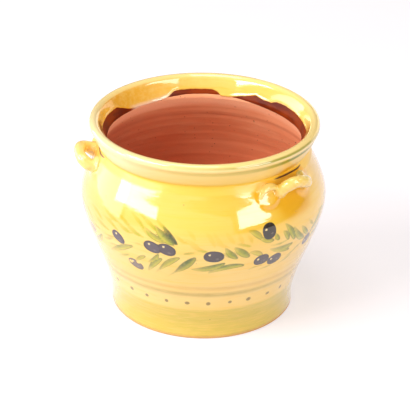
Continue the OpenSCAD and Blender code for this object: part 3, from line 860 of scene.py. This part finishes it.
    # Surface: a glassy coat over slight waves and pinholes
    wave = g.noise((45, 45, 260), 1.0, 3.0, 0.5)
    peel = g.noise((330, 330, 330), 1.0, 2.0, 0.5)
    pin = g.spots(180, 0.05, 0.12)
    normal = g.bump(wave, 0.00016, 0.5)
    normal = g.bump(peel, 0.00002, 0.5, normal)
    normal = g.bump(g.math("SUBTRACT", 1.0, g.math("MAXIMUM", pin, o_on)), 0.00003, 0.35, normal)
    rough = g.span(g.noise((40, 40, 90), 1.0, 3.0, 0.5), 0.3, 0.7, 0.07, 0.15)
    under_lip = g.math("MULTIPLY", g.span(height, 143.5, 146.5), g.span(run, outer_len - 2, outer_len - 6))
    under_lip = g.math("MULTIPLY", under_lip, g.span(height, 171, 168))
    rough = g.math("ADD", rough, g.math("MULTIPLY", under_lip, 0.22))
    g.shader(Base_Color=col, Roughness=rough, Normal=normal, IOR=1.5, Coat_Weight=g.math("SUBTRACT", 1.0, g.math("MULTIPLY", under_lip, 0.85)),
             Coat_Roughness=0.03, Coat_IOR=1.55, Coat_Normal=normal)
    return g.mat


def coil_glaze():
    g = Graph("yellow_coil_glaze")
    height = g.attr("height")
    col = glaze_base(g, height)
    over, root = g.attr("over"), g.attr("root")
    blot = g.noise((130, 130, 130), 1.0, 3.0, 0.6)
    # Painted light on the tops of the coils and over the lit left handle, painted shade underneath
    col = g.mix(g.math("MULTIPLY", g.span(over, 0.1, 1.0), 0.35), col, YELLOW_PALE)
    col = g.mix(g.math("MULTIPLY", g.span(over, 0.0, -0.9), 0.22), col, AMBER)
    # Deeper amber where the coil meets the wall: glaze pooled there, and painted shade
    col = g.mix(g.math("MULTIPLY", g.span(root, 0.6, 1.0), g.span(blot, 0.3, 0.6, 0.15, 0.45)), col, AMBER)
    # Deeper amber in the hollows, for glaze pooled there and painted shade, and a painted highlight on the ridges
    col = g.mix(g.math("MULTIPLY", g.span(g.attr("cavity_shading"), 0.25, 1.2), 0.55), col, srgb(238, 172, 20))
    col = g.mix(g.math("MULTIPLY", g.span(g.attr("cavity_shading"), -0.2, -1.2), 0.55), col, srgb(252, 226, 140))
    col = g.mix(g.math("MULTIPLY", g.span(g.attr("dish"), 0.2, 0.8), 0.60), col, AMBER)
    # Painted light: the left handle, on the lit side, is painted paler
    col = g.mix(g.math("MULTIPLY", g.attr("lit_pale"), 0.75), col, srgb(255, 234, 168))
    green = g.math("MULTIPLY", g.math("MULTIPLY", g.span(over, 0.45, 0.9), g.span(g.attr("along"), 0.05, 0.4)), g.span(g.attr("lit_pale"), 0.3, 0.0))
    col = g.mix(g.math("MULTIPLY", green, g.span(blot, 0.35, 0.65, 0.15, 0.7)), col, srgb(150, 156, 62))
    normal = g.bump(g.noise((120, 120, 120), 1.0, 3.0, 0.5), 0.0005, 0.35)
    normal = g.bump(g.noise((500, 500, 500), 1.0, 2.0, 0.5), 0.00005, 0.4, normal)
    g.shader(Base_Color=col, Roughness=g.span(blot, 0.3, 0.7, 0.05, 0.10), Normal=normal, IOR=1.5, Coat_Weight=1.0,
             Coat_Roughness=0.02, Coat_IOR=1.5, Coat_Normal=normal)
    return g.mat


def band_glaze():
    g = Graph("clear_glaze_on_clay")
    height = g.attr("height")
    blot = g.noise((40, 40, 120), 1.0, 4.0, 0.6)
    col = g.mix(g.span(blot, 0.32, 0.68), srgb(98, 28, 8), srgb(142, 52, 4))
    # The same glaze run over the clay, painted pale as a painted reflection
    run_sheen = g.math("MULTIPLY", g.attr("glaze_run_sheen"), g.span(blot, 0.3, 0.6, 0.55, 0.95))
    col = g.mix(run_sheen, col, srgb(244, 208, 178))
    normal = g.bump(g.noise((90, 90, 200), 1.0, 3.0, 0.5), 0.0003, 0.5)
    g.shader(Base_Color=col, Roughness=g.span(blot, 0.3, 0.7, 0.34, 0.50), Normal=normal, IOR=1.24)
    return g.mat


def fired_clay():
    g = Graph("fired_terracotta")
    height, spiral, inside_a = g.attr("height"), g.attr("spiral"), g.attr("inside")
    streak = g.noise((8, 8, 240), 1.0, 4.0, 0.6)
    broad = g.noise((14, 14, 40), 1.0, 3.0, 0.6)
    grain = g.noise((1400, 1400, 1400), 1.0, 2.0, 0.6)
    col = g.mix(g.span(broad, 0.32, 0.68), srgb(252, 180, 134), srgb(248, 162, 114))
    # Painted shade: the inside darkens towards the bottom
    col = g.mix(g.math("MULTIPLY", g.span(height, 132, 84), 0.9), col, srgb(222, 120, 76))
    col = g.mix(g.math("MULTIPLY", g.span(streak, 0.45, 0.72), 0.38), col, srgb(210, 110, 72))
    shade = g.math("MULTIPLY", g.attr("shade"), g.span(height, 152, 140))
    col = g.mix(g.math("MULTIPLY", shade, 0.72), col, srgb(184, 86, 54))
    # Painted light: a paler pink band at the top of the inside, just below the throat
    lit_top_band = g.math("MULTIPLY", g.span(height, 144, 150), g.span(height, 157.5, 154, 0.0, 1.0))
    col = g.mix(g.math("MULTIPLY", lit_top_band, 0.75), col, srgb(255, 190, 150))
    dark = g.math("MULTIPLY", g.span(height, 134, 136.6), g.span(height, 140.5, 137.8, 0.0, 1.0))
    col = g.mix(g.math("MULTIPLY", g.math("MULTIPLY", dark, inside_a), 0.20), col, srgb(180, 92, 62))
    col = g.mix(g.math("MULTIPLY", g.span(grain, 0.5, 0.75), 0.25), col, srgb(214, 140, 104))
    col = g.mix(g.math("MULTIPLY", g.spots(150, 0.05, 0.10), 0.6), col, srgb(112, 52, 34))
    col = g.mix(g.span(g.attr("pit"), 0.25, 0.7, 0.0, 0.9), col, srgb(66, 26, 16))
    col = g.mix(g.math("MULTIPLY", g.attr("foot"), 0.9), col, srgb(224, 180, 104))
    normal = g.bump(streak, 0.0005, 0.55)
    normal = g.bump(grain, 0.00012, 0.7, normal)
    normal = g.bump(g.span(g.attr("pit"), 0.1, 0.8, 1.0, 0.0), 0.0006, 1.0, normal)
    g.shader(Base_Color=col, Roughness=g.span(grain, 0.3, 0.7, 0.78, 0.92), Normal=normal, IOR=1.45)
    return g.mat


looks = {"skin": glaze_skin(), "coil": coil_glaze(), "band": band_glaze(), "clay": fired_clay()}
skin.data.materials.append(looks["skin"])
band.data.materials.append(looks["band"])
clay.data.materials.append(looks["clay"])
for piece in coils.values():
    piece.data.materials.append(looks["coil"])

for piece, slot, node in [(skin, "painted_glaze", "glaze_coat"), (band, "clear_glaze", "throat_glaze"),
                          (clay, "fired_clay", "clay_body")] + [(c, "yellow_glaze", n) for n, c in coils.items()]:
    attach(piece, "root")
    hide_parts(node)


# Floor, light and camera

floor_mesh = bpy.data.meshes.new("floor")
half = 4.0
floor_mesh.from_pydata([(-half, -half, 0), (half, -half, 0), (half, half, 0), (-half, half, 0)], [], [(0, 1, 2, 3)])
floor = bpy.data.objects.new("floor", floor_mesh)
bpy.context.scene.collection.objects.link(floor)
g = Graph("pale_floor")
paper = g.mix(g.span(g.noise((3, 3, 3), 1.0, 2.0, 0.5), 0.35, 0.65), srgb(198, 192, 196), srgb(202, 195, 200))
diffuse = g.node("ShaderNodeBsdfDiffuse")
g.put(diffuse.inputs["Color"], paper)
glow = g.node("ShaderNodeEmission")
glow.inputs["Color"].default_value = (1.0, 0.985, 1.0, 1.0)
path = g.node("ShaderNodeLightPath")
seen = g.math("ADD", path.outputs["Is Camera Ray"], path.outputs["Is Glossy Ray"], clamp=True)
seen = g.math("ADD", seen, path.outputs["Is Transmission Ray"], clamp=True)
FLOOR_LIFT = 0.53
g.put(glow.inputs["Strength"], g.math("MULTIPLY", seen, FLOOR_LIFT))
both = g.node("ShaderNodeAddShader")
g.tree.links.new(diffuse.outputs[0], both.inputs[0])
g.tree.links.new(glow.outputs[0], both.inputs[1])
g.tree.links.new(both.outputs[0], g.out.inputs["Surface"])
floor_mesh.materials.append(g.mat)

world = bpy.data.worlds.new("studio")
bpy.context.scene.world = world
world.use_nodes = True
world.node_tree.nodes["Background"].inputs["Color"].default_value = (1.0, 0.985, 0.97, 1.0)
world.node_tree.nodes["Background"].inputs["Strength"].default_value = 0.16


def lamp(name, az, half_width, low, high, distance, radiance, tint, roll=0.0):
    """A rectangular softbox seen from the jar between two bearings and two elevations."""
    a = az * RAD
    z0 = 0.10 + distance * math.tan(low * RAD)
    z1 = 0.10 + distance * math.tan(high * RAD)
    w = 2 * distance * math.tan(half_width * RAD)
    h = z1 - z0
    data = bpy.data.lights.new(name, "AREA")
    data.shape = "RECTANGLE"
    data.size = w
    data.size_y = h
    data.energy = radiance * math.pi * w * h
    data.color = tint
    obj = bpy.data.objects.new(name, data)
    bpy.context.scene.collection.objects.link(obj)
    place = np.array([distance * math.sin(a), -distance * math.cos(a), (z0 + z1) / 2])
    back = place - np.array([0, 0, (z0 + z1) / 2])
    back = back / np.linalg.norm(back)
    level, up = np.cross([0, 0, 1.0], back), np.array([0, 0, 1.0])
    right = level * math.cos(roll * RAD) + up * math.sin(roll * RAD)
    up = up * math.cos(roll * RAD) - level * math.sin(roll * RAD)
    m = Matrix(((right[0], up[0], back[0], place[0]), (right[1], up[1], back[1], place[1]),
                (right[2], up[2], back[2], place[2]), (0, 0, 0, 1)))
    obj.matrix_world = m
    return obj


lamp("softbox_left", -66.5, 23, 11.2, 19.8, 2.0, 8.4, (1.0, 0.99, 0.98), 6.0)
lamp("softbox_right", 48, 16.5, 8.0, 22.2, 2.0, 7.6, (1.0, 0.965, 0.94))
lamp("pale_wall_left", -106, 28, -2, 22, 2.2, 2.9, (1.0, 0.99, 0.99))
lamp("upper_left", -63, 25, 34, 48, 1.6, 12.0, (1.0, 0.985, 0.97))
lamp("upper_right", 53, 20, 34, 47, 1.6, 5.2, (1.0, 0.965, 0.93))
lamp("front_card", -24, 51, -1, 26, 2.4, 0.86, (1.0, 0.985, 0.97))
lamp("warm_card_right", 148, 27, -2, 16, 2.2, 1.5, (1.0, 0.76, 0.52))

top = bpy.data.lights.new("overhead", "AREA")
top.shape = "RECTANGLE"
top.size = 0.9
top.size_y = 0.7
top.energy = 9.0
top.color = (1.0, 0.98, 0.96)
top_obj = bpy.data.objects.new("overhead", top)
top_obj.location = (-0.2, -0.1, 2.0)
top_obj.rotation_euler = (math.radians(-3), math.radians(-6), 0)
bpy.context.scene.collection.objects.link(top_obj)

cam_data = bpy.data.cameras.new("camera")
cam_data.sensor_width = 36.0
cam_data.lens = 156.83
cam = bpy.data.objects.new("camera", cam_data)
right_v, up_v, fwd = (0.999887, 0.006039, 0.013796), (-0.015030, 0.457601, 0.889030), (0.000944, 0.889137, -0.457640)
cam.matrix_world = Matrix(((right_v[0], up_v[0], -fwd[0], 0.0), (right_v[1], up_v[1], -fwd[1], -1.40465),
                           (right_v[2], up_v[2], -fwd[2], 0.81197), (0, 0, 0, 1)))
bpy.context.scene.collection.objects.link(cam)
bpy.context.scene.camera = cam
bpy.context.scene.view_settings.view_transform = "Standard"
